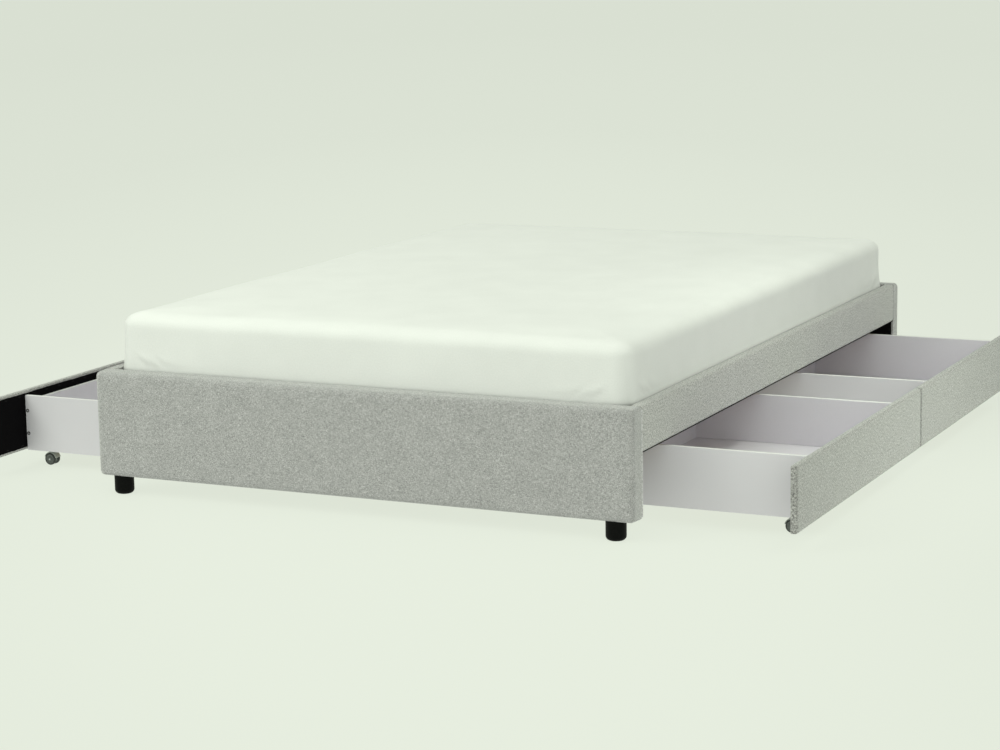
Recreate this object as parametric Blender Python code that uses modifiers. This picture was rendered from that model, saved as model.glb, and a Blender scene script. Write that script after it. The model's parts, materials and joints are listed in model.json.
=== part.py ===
"""A low upholstered platform bed for a 140 x 200 cm mattress, with four drawers on castors under it.

Metres, +Z up. The origin is on the floor under the middle of the bed. +Y runs to the head end, and
+X to the right-hand side as seen from the foot end. The drawers stand pulled out.

Drawer 1 of each side is at the foot end and drawer 2 at the head end. In a drawer's own directions,
"out" is away from the middle of the bed, and "end" is towards the foot or head panel beside it.
"""

import math

import bmesh
import bpy
from mathutils import Matrix, Vector

# ---- driving dimensions ----------------------------------------------------------------------

GAP = 0.0003  # between two pieces that touch

MATTRESS_WIDTH = 1.412  # with its sheet on
MATTRESS_LENGTH = 2.028
MATTRESS_THICKNESS = 0.216
MATTRESS_CORNER = 0.060  # radius of its corners, seen from above
MATTRESS_EDGE = 0.030  # radius of its upper and lower edges
SIDE_CLEARANCE = 0.004  # mattress to side rail
END_CLEARANCE = 0.004  # mattress to foot or head panel

LEG_HEIGHT = 0.048
LEG_RADIUS = 0.025
LEG_EDGE = 0.011
LEG_FROM_SIDE = 0.057  # leg's centre to the panel's end
LEG_FROM_FACE = 0.029  # leg's centre to the panel's outer face
PANEL_HEIGHT = 0.270
FOOT_PANEL_THICKNESS = 0.054
HEAD_PANEL_THICKNESS = 0.050
RAIL_HEIGHT = 0.1115
RAIL_THICKNESS = 0.030
PADDED_EDGE = 0.010  # radius of the upholstered panels' edges

LEDGE_WIDTH = 0.025
LEDGE_HEIGHT = 0.022
LEDGE_ABOVE_RAIL_BOTTOM = 0.002
LEDGE_FROM_BRACKET = 0.005
SLAT_COUNT = 14
SLAT_WIDTH = 0.070
SLAT_THICKNESS = 0.018
SLAT_END_CLEARANCE = 0.004  # slat's end to the side rail
TAPE_WIDTH = 0.030
TAPE_THICKNESS = 0.002
TAPE_FROM_MIDDLE = 0.33
TAPE_END_ON_SLAT = 0.023  # from the tape's end to the outer edge of the slat it ends on
BEAM_WIDTH = 0.040
BEAM_HEIGHT = 0.060
CENTRE_LEG_RADIUS = 0.020
STEEL = 0.003  # thickness of the hangers and brackets
HANGER_DEPTH = 0.030
HANGER_HEIGHT = 0.045
BRACKET_LEG = 0.040
BRACKET_HEIGHT = 0.034

FRONT_THICKNESS = 0.019
FRONT_BELOW_PANEL = 0.004  # how far a drawer front hangs below the foot panel's lower edge
FRONT_TO_RAIL = 0.0022
FRONT_TO_FRONT = 0.004  # between two fronts, and between a front and a panel
FRONT_EDGE = 0.005
BOX_DEPTH = 0.560
BOARD = 0.012
FRONT_PAST_BOX_AT_END = 0.160
FRONT_PAST_BOX_AT_MIDDLE = 0.156
SIDE_BELOW_FRONT_TOP = 0.012
INNER_FRONT_BELOW_SIDE = 0.0145
FLOOR_THICKNESS = 0.006
FLOOR_ABOVE_SIDE_BOTTOM = 0.016
GROOVE_DEPTH = 0.005
RIGHT_PULLED_OUT = 0.378
LEFT_PULLED_OUT = 0.397

WHEEL_RADIUS = 0.016
WHEEL_WIDTH = 0.009
WHEEL_EDGE = 0.0012
AXLE_RADIUS = 0.003
AXLE_CLEARANCE = 0.0004
WEB_WIDTH = 0.008  # the castor's web, between its two wheels
WEB_CLEARANCE = 0.001
WEB_RADIUS = 0.011
WEB_NECK = 0.018  # width of the web above the axle
CASTOR_PLATE_ABOVE_WHEEL = 0.014
CASTOR_PLATE = 0.040
CASTOR_BLOCK_HEIGHT = 0.012
CASTOR_FROM_FRONT = 0.056
CASTOR_FROM_BACK = 0.058
CASTOR_FROM_SIDE = 0.034

LARGE_ROUND = 20  # sides of a leg
SMALL_ROUND = 16  # sides of a wheel or its bore

# ---- what follows from them ------------------------------------------------------------------

INSIDE_WIDTH = MATTRESS_WIDTH + 2 * SIDE_CLEARANCE
INSIDE_LENGTH = MATTRESS_LENGTH + 2 * END_CLEARANCE
BED_WIDTH = INSIDE_WIDTH + 2 * RAIL_THICKNESS
BED_LENGTH = INSIDE_LENGTH + FOOT_PANEL_THICKNESS + HEAD_PANEL_THICKNESS
FOOT_FACE = -BED_LENGTH / 2  # outer face of the foot panel
HEAD_FACE = BED_LENGTH / 2
INSIDE_FOOT = FOOT_FACE + FOOT_PANEL_THICKNESS  # inner face of the foot panel
INSIDE_HEAD = HEAD_FACE - HEAD_PANEL_THICKNESS
INSIDE_MIDDLE = (INSIDE_FOOT + INSIDE_HEAD) / 2
PANEL_TOP = LEG_HEIGHT + PANEL_HEIGHT
RAIL_BOTTOM = PANEL_TOP - RAIL_HEIGHT
LEDGE_BOTTOM = RAIL_BOTTOM + LEDGE_ABOVE_RAIL_BOTTOM
LEDGE_TOP = LEDGE_BOTTOM + LEDGE_HEIGHT
LEDGE_FROM_PANEL = BRACKET_LEG + LEDGE_FROM_BRACKET
SLAT_BOTTOM = LEDGE_TOP + GAP
SLAT_TOP = SLAT_BOTTOM + SLAT_THICKNESS
MATTRESS_BOTTOM = SLAT_TOP + GAP
BEAM_BOTTOM = LEDGE_TOP - BEAM_HEIGHT

FRONT_LENGTH = (INSIDE_LENGTH - 3 * FRONT_TO_FRONT) / 2
FRONT_BOTTOM = LEG_HEIGHT - FRONT_BELOW_PANEL
FRONT_TOP = RAIL_BOTTOM - FRONT_TO_RAIL
PLATE_BOTTOM = 2 * WHEEL_RADIUS + CASTOR_PLATE_ABOVE_WHEEL
FLOOR_BOTTOM = PLATE_BOTTOM + CASTOR_BLOCK_HEIGHT
FLOOR_TOP = FLOOR_BOTTOM + FLOOR_THICKNESS
SIDE_BOTTOM = FLOOR_BOTTOM - FLOOR_ABOVE_SIDE_BOTTOM
SIDE_TOP = FRONT_TOP - SIDE_BELOW_FRONT_TOP
INNER_FRONT_TOP = SIDE_TOP - INNER_FRONT_BELOW_SIDE
WHEEL_INNER = WEB_WIDTH / 2 + WEB_CLEARANCE
WHEEL_OUTER = WHEEL_INNER + WHEEL_WIDTH


# ---- scene and materials ---------------------------------------------------------------------


def clear_scene():
    for obj in list(bpy.data.objects):
        bpy.data.objects.remove(obj, do_unlink=True)


def new_collection(name):
    collection = bpy.data.collections.new(name)
    bpy.context.scene.collection.children.link(collection)
    return collection


def new_material(name, colour, roughness, metallic=0.0):
    material = bpy.data.materials.new(name)
    material.use_nodes = True
    shader = material.node_tree.nodes["Principled BSDF"]
    shader.inputs["Base Color"].default_value = (*colour, 1)
    shader.inputs["Roughness"].default_value = roughness
    shader.inputs["Metallic"].default_value = metallic
    return material


clear_scene()
BED = new_collection("platform_bed")
CUTTERS = new_collection("cutters_and_joined_shapes")
UPHOLSTERY = new_material("grey_woven_fabric", (0.42, 0.43, 0.40), 0.95)
SHEET = new_material("white_cotton_sheet", (0.80, 0.83, 0.76), 0.90)
MELAMINE = new_material("pale_melamine_board", (0.62, 0.60, 0.64), 0.45)
WOOD = new_material("pine", (0.66, 0.50, 0.33), 0.65)
BLACK_WOOD = new_material("black_leg", (0.02, 0.02, 0.02), 0.45)
PLATED_STEEL = new_material("zinc_plated_steel", (0.62, 0.63, 0.64), 0.35, 1.0)
WHEEL_PLASTIC = new_material("grey_wheel_plastic", (0.22, 0.24, 0.23), 0.50)


# ---- shapes ----------------------------------------------------------------------------------


def cuboid(bm, low, high):
    """Adds a box between two opposite corners, given in either order."""
    low, high = Vector(low), Vector(high)
    size = [abs(b - a) for a, b in zip(low, high)]
    place = Matrix.Translation((low + high) / 2) @ Matrix.Diagonal((*size, 1))
    bmesh.ops.create_cube(bm, size=1, matrix=place)


def cylinder(bm, centre, radius, length, axis, segments):
    """Adds a cylinder along the Y or Z axis."""
    turn = Matrix.Rotation(math.pi / 2, 4, "X") if axis == "Y" else Matrix.Identity(4)
    bmesh.ops.create_cone(
        bm,
        cap_ends=True,
        segments=segments,
        radius1=radius,
        radius2=radius,
        depth=length,
        matrix=Matrix.Translation(centre) @ turn,
    )


def new_object(name, bm, collection):
    mesh = bpy.data.meshes.new(name)
    bm.to_mesh(mesh)
    bm.free()
    obj = bpy.data.objects.new(name, mesh)
    collection.objects.link(obj)
    return obj


def add_piece(name, bm, material, parent, origin):
    """A piece of the bed whose shape is drawn about its own origin, set at a place in the world."""
    obj = new_object(name, bm, BED)
    obj.data.materials.append(material)
    obj.parent = parent
    obj.location = Vector(origin) - (parent.location if parent else Vector())
    return obj


def add_drawn_in_place(name, bm, material, parent, origin):
    """A piece whose shape is drawn in world coordinates, which then gets the origin given."""
    bmesh.ops.translate(bm, verts=bm.verts, vec=-Vector(origin))
    return add_piece(name, bm, material, parent, origin)


def add_helper(name, bm):
    """A shape that only cuts or joins another one, so it is hidden."""
    obj = new_object(name, bm, CUTTERS)
    obj.hide_render = True
    obj.display_type = "WIRE"
    return obj


def combine(obj, helper, operation):
    boolean = obj.modifiers.new(f"{operation.lower()} {helper.name}", "BOOLEAN")
    boolean.operation = operation
    boolean.solver = "EXACT"
    boolean.object = helper


def round_edges(obj, radius, segments):
    bevel = obj.modifiers.new("rounded edges", "BEVEL")
    bevel.limit_method = "ANGLE"
    bevel.width = radius
    bevel.segments = segments


def block(name, low, high, material, parent=None, radius=0.0, segments=3):
    """A box with its origin at its centre and, where a radius is given, rounded edges."""
    bm = bmesh.new()
    cuboid(bm, low, high)
    centre = (Vector(low) + Vector(high)) / 2
    obj = add_drawn_in_place(name, bm, material, parent, centre)
    if radius:
        round_edges(obj, radius, segments)
    return obj


def turned(name, profile, steps, material, parent, origin, axis):
    """A solid turned about an axis through its origin: the profile is (radius, height) points."""
    bm = bmesh.new()
    points = [bm.verts.new((radius, 0, height)) for radius, height in profile]
    for a, b in zip(points, points[1:]):
        bm.edges.new((a, b))
    obj = add_piece(name, bm, material, parent, origin)
    if axis == "Y":
        obj.rotation_euler = (math.pi / 2, 0, 0)
    screw = obj.modifiers.new("turned", "SCREW")
    screw.steps = steps
    screw.render_steps = steps
    screw.use_merge_vertices = True
    screw.merge_threshold = 1e-5
    screw.use_smooth_shade = True
    return obj


def add_empty(name, location):
    empty = bpy.data.objects.new(name, None)
    BED.objects.link(empty)
    empty.location = location
    return empty


# ---- the bed's frame -------------------------------------------------------------------------


def add_end_panels():
    half = BED_WIDTH / 2
    block(
        "foot_panel",
        (-half, FOOT_FACE, LEG_HEIGHT),
        (half, INSIDE_FOOT, PANEL_TOP),
        UPHOLSTERY,
        radius=PADDED_EDGE,
    )
    block(
        "head_panel",
        (-half, INSIDE_HEAD, LEG_HEIGHT),
        (half, HEAD_FACE, PANEL_TOP),
        UPHOLSTERY,
        radius=PADDED_EDGE,
    )


def add_side_rail(name, side):
    """A padded rail between the end panels, with its ledge for the slats."""
    inner, outer = side * INSIDE_WIDTH / 2, side * BED_WIDTH / 2
    block(
        f"side_rail_{name}",
        (inner, INSIDE_FOOT + GAP, RAIL_BOTTOM),
        (outer, INSIDE_HEAD - GAP, PANEL_TOP),
        UPHOLSTERY,
        radius=PADDED_EDGE,
        segments=2,
    )
    block(
        f"slat_ledge_{name}",
        (inner - side * (GAP + LEDGE_WIDTH), INSIDE_FOOT + LEDGE_FROM_PANEL, LEDGE_BOTTOM),
        (inner - side * GAP, INSIDE_HEAD - LEDGE_FROM_PANEL, LEDGE_TOP),
        WOOD,
    )


def add_corner_bracket(name, side, end):
    """A steel angle that ties a side rail to an end panel, in the corner beside the ledge's end."""
    face_x = side * (INSIDE_WIDTH / 2 - GAP)
    face_y = (INSIDE_FOOT + GAP) if end < 0 else (INSIDE_HEAD - GAP)
    bm = bmesh.new()
    cuboid(
        bm,
        (face_x, face_y, LEDGE_BOTTOM),
        (face_x - side * BRACKET_LEG, face_y - end * BRACKET_LEG, LEDGE_BOTTOM + BRACKET_HEIGHT),
    )
    corner = (face_x, face_y, LEDGE_BOTTOM)
    bracket = add_drawn_in_place(f"corner_bracket_{name}", bm, PLATED_STEEL, None, corner)
    room = bmesh.new()
    past = 2 * BRACKET_LEG
    cuboid(
        room,
        (face_x - side * STEEL, face_y - end * STEEL, LEDGE_BOTTOM - BRACKET_HEIGHT),
        (face_x - side * past, face_y - end * past, LEDGE_BOTTOM + 2 * BRACKET_HEIGHT),
    )
    combine(bracket, add_helper(f"bracket_room_{name}", room), "DIFFERENCE")


def add_leg(name, side, end):
    """A short round leg, turned, with a rounded lower edge."""
    x = side * (BED_WIDTH / 2 - LEG_FROM_SIDE)
    y = end * (BED_LENGTH / 2 - LEG_FROM_FACE)
    arc_steps = 4
    profile = [(0, LEG_HEIGHT - GAP), (LEG_RADIUS, LEG_HEIGHT - GAP)]
    for step in range(arc_steps + 1):
        angle = math.pi / 2 * step / arc_steps
        out = LEG_RADIUS - LEG_EDGE + LEG_EDGE * math.cos(angle)
        profile.append((out, LEG_EDGE - LEG_EDGE * math.sin(angle)))
    profile.append((0, 0))
    turned(f"leg_{name}", profile, LARGE_ROUND, BLACK_WOOD, None, (x, y, 0), "Z")


def add_centre_support():
    """The beam under the slats, its leg, and the hangers that hold it on the end panels."""
    half = BEAM_WIDTH / 2
    set_back = GAP + STEEL + GAP
    block(
        "centre_beam",
        (-half, INSIDE_FOOT + set_back, BEAM_BOTTOM),
        (half, INSIDE_HEAD - set_back, LEDGE_TOP),
        WOOD,
    )
    leg = bmesh.new()
    leg_height = BEAM_BOTTOM - GAP
    cylinder(leg, (0, INSIDE_MIDDLE, leg_height / 2), CENTRE_LEG_RADIUS, leg_height, "Z", LARGE_ROUND)
    add_drawn_in_place("centre_leg", leg, BLACK_WOOD, None, (0, INSIDE_MIDDLE, 0))
    for name, face, inward in (("foot", INSIDE_FOOT, 1), ("head", INSIDE_HEAD, -1)):
        add_beam_hanger(name, face + inward * GAP, inward)


def add_beam_hanger(name, face, inward):
    """A pocket of bent steel: a back plate, two cheeks and a seat under the beam's end."""
    half = BEAM_WIDTH / 2 + GAP
    seat = BEAM_BOTTOM - GAP
    bm = bmesh.new()
    cuboid(
        bm,
        (-half - STEEL, face, seat - STEEL),
        (half + STEEL, face + inward * HANGER_DEPTH, seat + HANGER_HEIGHT),
    )
    hanger = add_drawn_in_place(f"beam_hanger_{name}", bm, PLATED_STEEL, None, (0, face, seat))
    pocket = bmesh.new()
    cuboid(
        pocket,
        (-half, face + inward * STEEL, seat),
        (half, face + inward * 2 * HANGER_DEPTH, seat + 2 * HANGER_HEIGHT),
    )
    combine(hanger, add_helper(f"beam_pocket_{name}", pocket), "DIFFERENCE")


def add_slat_roll():
    """The slats, held at their distance by two tapes stapled across them."""
    half = INSIDE_WIDTH / 2 - SLAT_END_CLEARANCE
    first = INSIDE_FOOT + LEDGE_FROM_PANEL
    pitch = (INSIDE_LENGTH - 2 * LEDGE_FROM_PANEL - SLAT_WIDTH) / (SLAT_COUNT - 1)
    slats = bmesh.new()
    for number in range(SLAT_COUNT):
        y = first + number * pitch
        cuboid(slats, (-half, y, SLAT_BOTTOM), (half, y + SLAT_WIDTH, SLAT_TOP))
    roll = add_drawn_in_place("slat_roll", slats, WOOD, None, (0, INSIDE_MIDDLE, SLAT_BOTTOM))
    tapes = bmesh.new()
    sunk = GAP  # the tapes lie just below the slats' upper faces
    last = first + (SLAT_COUNT - 1) * pitch + SLAT_WIDTH
    for x in (-TAPE_FROM_MIDDLE, TAPE_FROM_MIDDLE):
        cuboid(
            tapes,
            (x - TAPE_WIDTH / 2, first + TAPE_END_ON_SLAT, SLAT_TOP - sunk - TAPE_THICKNESS),
            (x + TAPE_WIDTH / 2, last - TAPE_END_ON_SLAT, SLAT_TOP - sunk),
        )
    combine(roll, add_helper("slat_tapes", tapes), "UNION")


def add_mattress():
    """Rounded in plan by a first bevel on its upright edges, then along its upper and lower edges."""
    half = MATTRESS_WIDTH / 2
    foot = INSIDE_MIDDLE - MATTRESS_LENGTH / 2
    bm = bmesh.new()
    top = MATTRESS_BOTTOM + MATTRESS_THICKNESS
    cuboid(bm, (-half, foot, MATTRESS_BOTTOM), (half, foot + MATTRESS_LENGTH, top))
    upright = [edge for edge in bm.edges if edge.verts[0].co.z != edge.verts[1].co.z]
    bmesh.ops.bevel(
        bm,
        geom=upright,
        offset=MATTRESS_CORNER,
        offset_type="OFFSET",
        affect="EDGES",
        segments=6,
        profile=0.5,
        clamp_overlap=True,
        material=-1,
    )
    middle = (0, INSIDE_MIDDLE, MATTRESS_BOTTOM)
    mattress = add_drawn_in_place("mattress", bm, SHEET, None, middle)
    round_edges(mattress, MATTRESS_EDGE, 3)


# ---- the drawers -----------------------------------------------------------------------------


class Drawer:
    """One drawer. `out` and `end` are signs: which side it opens to, and which panel it is next to."""

    def __init__(self, name, out, end, pulled_out):
        self.name = f"drawer_{name}"
        self.out = out
        self.end = end
        self.front_back = BED_WIDTH / 2 - FRONT_THICKNESS + pulled_out
        self.box_end = FRONT_TO_FRONT / 2 + FRONT_LENGTH - FRONT_PAST_BOX_AT_END
        self.box_middle = FRONT_TO_FRONT / 2 + FRONT_PAST_BOX_AT_MIDDLE
        middle_of_front = (FRONT_LENGTH + FRONT_TO_FRONT) / 2
        self.parent = add_empty(f"{self.name}_slide", self.at(self.front_back, middle_of_front, 0))

    def at(self, out, along, z):
        """World place of a point `out` from the bed's middle and `along` from between the fronts."""
        return Vector((self.out * out, INSIDE_MIDDLE + self.end * along, z))

    def add_board(self, name, low, high, material=MELAMINE, radius=0.0):
        low, high = self.at(*low), self.at(*high)
        return block(f"{self.name}_{name}", low, high, material, self.parent, radius)

    def cut_groove(self, board, low, high):
        """The slot in a board that takes the floor's edge."""
        groove = bmesh.new()
        cuboid(groove, self.at(*low), self.at(*high))
        combine(board, add_helper(f"{board.name}_groove", groove), "DIFFERENCE")

    def add_front(self):
        """The padded front, longer and higher than the box behind it."""
        self.add_board(
            "front",
            (self.front_back, FRONT_TO_FRONT / 2, FRONT_BOTTOM),
            (self.front_back + FRONT_THICKNESS, FRONT_TO_FRONT / 2 + FRONT_LENGTH, FRONT_TOP),
            UPHOLSTERY,
            FRONT_EDGE,
        )

    def add_box(self):
        """Two sides that run from front to back, and an inner front and a back between them."""
        face = self.front_back - GAP
        rear = self.front_back - BOX_DEPTH
        low, high = FLOOR_BOTTOM - GAP, FLOOR_TOP + GAP
        end, middle = self.box_end, self.box_middle
        for name, outer, inward in (("end_side", end, -1), ("middle_side", middle, 1)):
            inner = outer + inward * BOARD
            side = self.add_board(name, (rear, outer, SIDE_BOTTOM), (face, inner, SIDE_TOP))
            depth, past = inner - inward * GROOVE_DEPTH, inner + inward * BOARD
            self.cut_groove(side, (rear - BOARD, depth, low), (face + BOARD, past, high))
        start, stop = middle + BOARD + GAP, end - BOARD - GAP
        for name, outer, inward, top in (
            ("inner_front", face, -1, INNER_FRONT_TOP),
            ("back", rear, 1, SIDE_TOP),
        ):
            inner = outer + inward * BOARD
            board = self.add_board(name, (outer, start, SIDE_BOTTOM), (inner, stop, top))
            depth, past = inner - inward * GROOVE_DEPTH, inner + inward * BOARD
            self.cut_groove(board, (depth, start - BOARD, low), (past, stop + BOARD, high))

    def castor_places(self):
        """(letter, out, along) of the four castors' axles' middles."""
        outs = (
            self.front_back - CASTOR_FROM_FRONT,
            self.front_back - BOX_DEPTH + CASTOR_FROM_BACK,
        )
        alongs = (self.box_end - CASTOR_FROM_SIDE, self.box_middle + CASTOR_FROM_SIDE)
        return [("abcd"[2 * i + j], outs[i], alongs[j]) for i in range(2) for j in range(2)]

    def add_floor(self):
        """The floor board, with the castors' blocks, plates and webs fixed under it."""
        into = BOARD - GROOVE_DEPTH + GAP
        low = (self.front_back - BOX_DEPTH + into, self.box_middle + into, FLOOR_BOTTOM)
        high = (self.front_back - GAP - into, self.box_end - into, FLOOR_TOP)
        floor = self.add_board("floor", low, high)
        blocks, webs, rounds, bores = bmesh.new(), bmesh.new(), bmesh.new(), bmesh.new()
        half = CASTOR_PLATE / 2
        overlap = FLOOR_THICKNESS / 2
        for _, out, along in self.castor_places():
            cuboid(
                blocks,
                self.at(out - half, along - half, PLATE_BOTTOM),
                self.at(out + half, along + half, FLOOR_BOTTOM + overlap),
            )
            cuboid(
                webs,
                self.at(out - WEB_NECK / 2, along - WEB_WIDTH / 2, WHEEL_RADIUS),
                self.at(out + WEB_NECK / 2, along + WEB_WIDTH / 2, PLATE_BOTTOM + overlap),
            )
            centre = self.at(out, along, WHEEL_RADIUS)
            cylinder(rounds, centre, WEB_RADIUS, WEB_WIDTH - GAP, "Y", SMALL_ROUND)
            cylinder(bores, centre, AXLE_RADIUS + AXLE_CLEARANCE, 2 * WEB_WIDTH, "Y", SMALL_ROUND)
        for name, shape, operation in (
            ("castor_blocks", blocks, "UNION"),
            ("castor_webs", webs, "UNION"),
            ("castor_web_ends", rounds, "UNION"),
            ("castor_bores", bores, "DIFFERENCE"),
        ):
            combine(floor, add_helper(f"{self.name}_{name}", shape), operation)

    def add_wheels(self):
        """Each castor's two wheels on their axle, turned as one."""
        half = [
            (AXLE_RADIUS, WHEEL_INNER),
            (WHEEL_RADIUS, WHEEL_INNER),
            (WHEEL_RADIUS, WHEEL_OUTER - WHEEL_EDGE),
            (WHEEL_RADIUS - WHEEL_EDGE, WHEEL_OUTER),
            (0, WHEEL_OUTER),
        ]
        profile = half[::-1] + [(radius, -height) for radius, height in half]
        for letter, out, along in self.castor_places():
            origin = self.at(out, along, WHEEL_RADIUS)
            name = f"{self.name}_wheels_{letter}"
            turned(name, profile, SMALL_ROUND, WHEEL_PLASTIC, self.parent, origin, "Y")


def add_drawer(name, out, end, pulled_out):
    drawer = Drawer(name, out, end, pulled_out)
    drawer.add_front()
    drawer.add_box()
    drawer.add_floor()
    drawer.add_wheels()


def build_bed():
    sides = (("right", 1), ("left", -1))
    ends = (("foot", -1), ("head", 1))
    add_end_panels()
    for side_name, side in sides:
        add_side_rail(side_name, side)
        for end_name, end in ends:
            add_corner_bracket(f"{side_name}_{end_name}", side, end)
            add_leg(f"{end_name}_{side_name}", side, end)
    add_centre_support()
    add_slat_roll()
    add_mattress()
    for side_name, side in sides:
        pulled_out = RIGHT_PULLED_OUT if side > 0 else LEFT_PULLED_OUT
        for number, (_, end) in enumerate(ends, start=1):
            add_drawer(f"{side_name}_{number}", side, end, pulled_out)


build_bed()
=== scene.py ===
"""The looks of a low upholstered platform bed with four storage drawers, built round its CAD frame.

Metres, +Z up, the origin on the floor under the middle of the bed. +Y runs to the head end and
+X to the right-hand side as seen from the foot end. Drawer 1 of each side is at the foot end,
drawer 2 at the head end.
"""

import json
import math
import random

import bmesh
import bpy
from mathutils import Matrix, Vector, noise

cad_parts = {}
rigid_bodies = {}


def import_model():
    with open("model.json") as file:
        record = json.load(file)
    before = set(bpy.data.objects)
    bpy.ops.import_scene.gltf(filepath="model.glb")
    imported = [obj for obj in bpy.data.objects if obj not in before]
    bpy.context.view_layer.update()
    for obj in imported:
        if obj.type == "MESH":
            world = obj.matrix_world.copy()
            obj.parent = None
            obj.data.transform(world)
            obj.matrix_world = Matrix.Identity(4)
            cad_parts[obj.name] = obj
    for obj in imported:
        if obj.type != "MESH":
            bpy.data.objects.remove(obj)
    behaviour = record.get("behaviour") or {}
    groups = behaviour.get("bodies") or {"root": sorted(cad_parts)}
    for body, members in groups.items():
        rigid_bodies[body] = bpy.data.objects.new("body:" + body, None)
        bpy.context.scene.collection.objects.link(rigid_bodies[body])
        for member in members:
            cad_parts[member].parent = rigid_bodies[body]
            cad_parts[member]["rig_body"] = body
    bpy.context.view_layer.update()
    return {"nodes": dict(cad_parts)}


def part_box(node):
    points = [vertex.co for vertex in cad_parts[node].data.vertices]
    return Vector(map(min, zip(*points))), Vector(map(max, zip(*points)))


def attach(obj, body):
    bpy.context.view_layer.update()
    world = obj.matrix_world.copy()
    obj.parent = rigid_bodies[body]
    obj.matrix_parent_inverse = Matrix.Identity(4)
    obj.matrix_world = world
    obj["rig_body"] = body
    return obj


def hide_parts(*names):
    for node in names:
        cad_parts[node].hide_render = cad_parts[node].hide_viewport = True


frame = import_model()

# ---- sizes ----

MM = 0.001
MERGED = 1e-6  # points closer than this are one

YARN = 1.9 * MM  # from one yarn of the upholstery cloth to the next
SHEET_YARN = 0.9 * MM

ROUNDING_ROWS = 3  # grid rows in each half of a rounded edge
PANEL_STEP = 34 * MM  # grid of the padded panels
FRONT_STEP = 26 * MM  # grid of the padded drawer fronts
BACKING_THICKNESS = 0.6 * MM
BACKING_MARGIN = 7 * MM  # from the edge of a padded board to its black backing
BACKING_STEP = 24 * MM
STAPLE = (10 * MM, 1.1 * MM, 0.5 * MM)
STAPLE_PITCH = 62 * MM
STAPLE_FROM_EDGE = 6 * MM
STAPLE_FROM_CORNER = 7 * MM
WELT_RADIUS = 2.3 * MM

SHEET_THICKNESS = 0.8 * MM
SHEET_TUCK = 100 * MM  # how far the fitted sheet reaches under the mattress
SHEET_ROUND = (50 * MM, 50 * MM, 32 * MM)
SHEET_CORE_GAP = 7 * MM
CORE_STEP = 60 * MM  # grid of the mattress core
HEM_RADIUS = 1.1 * MM
HEM_CORNER = 60 * MM
SPILL = 4 * MM  # how far the mattress spreads over the rails
FLARE = 6 * MM  # and how much more just above them
FLARE_HEIGHT = 80 * MM
SPILL_SCALE = (0.706, 1.412)  # a point this far from the middle moves by the whole spill
CREASES_PER_SIDE = 4

LEG_ROUND = 11 * MM  # at the foot of a leg
SLAT_COUNT = 14
SLAT_WIDTH = 70 * MM
TAPE_FROM_MIDDLE = 330 * MM
TAPE_WIDTH = 30 * MM
TAPE_THICKNESS = 1.2 * MM
TAPE_FROM_END = 23 * MM
LEDGE_SCREWS = 8
LEDGE_SCREW_FROM_END = 60 * MM

EDGE_BEVEL = 0.6 * MM
FLOOR_THICKNESS = 6 * MM
SCREW_RADIUS = 5.0 * MM
SIDE_SCREW_DEPTHS = (42 * MM, 104 * MM)  # below the side board's upper edge

WHEEL_RADIUS = 16 * MM
WHEEL_INNER = 5 * MM
WHEEL_OUTER = 14 * MM
HOOD_INNER = 17.2 * MM
HOOD_OUTER = 19 * MM
CASTOR_WEB = 8 * MM
CASTOR_PLATE = 40 * MM
PLATE_BOTTOM = 46 * MM
FLOOR_BOTTOM = 58 * MM
PLATE_THICKNESS = 1.6 * MM
PLATE_SCREW_FROM_MIDDLE = 14.5 * MM

SIDES = (("right", 1), ("left", -1))
ENDS = (("foot", 1), ("head", -1))  # with the direction along Y from each end to the middle
DRAWERS = [(f"drawer_{side}_{number}", out) for side, out in SIDES for number in (1, 2)]


# ---- finishes ----


def math_step(operation, swapped=False):
    """A method of Signal that adds one Math node; swapped when the signal stands on the right."""

    def step(self, *others):
        values = (*others, self) if swapped else (self, *others)
        return self.finish.sum_of(operation, *values)

    return step


class Signal:
    """A number, colour or vector that changes over a surface. Sums on numbers add Math nodes."""

    def __init__(self, finish, socket):
        self.finish = finish
        self.socket = socket

    __add__ = math_step("ADD")
    __radd__ = math_step("ADD", True)
    __sub__ = math_step("SUBTRACT")
    __rsub__ = math_step("SUBTRACT", True)
    __mul__ = math_step("MULTIPLY")
    __truediv__ = math_step("DIVIDE")
    __lt__ = math_step("LESS_THAN")
    floor = math_step("FLOOR")
    fraction = math_step("FRACT")
    size = math_step("ABSOLUTE")
    power = math_step("POWER")
    modulo = math_step("MODULO")


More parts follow.
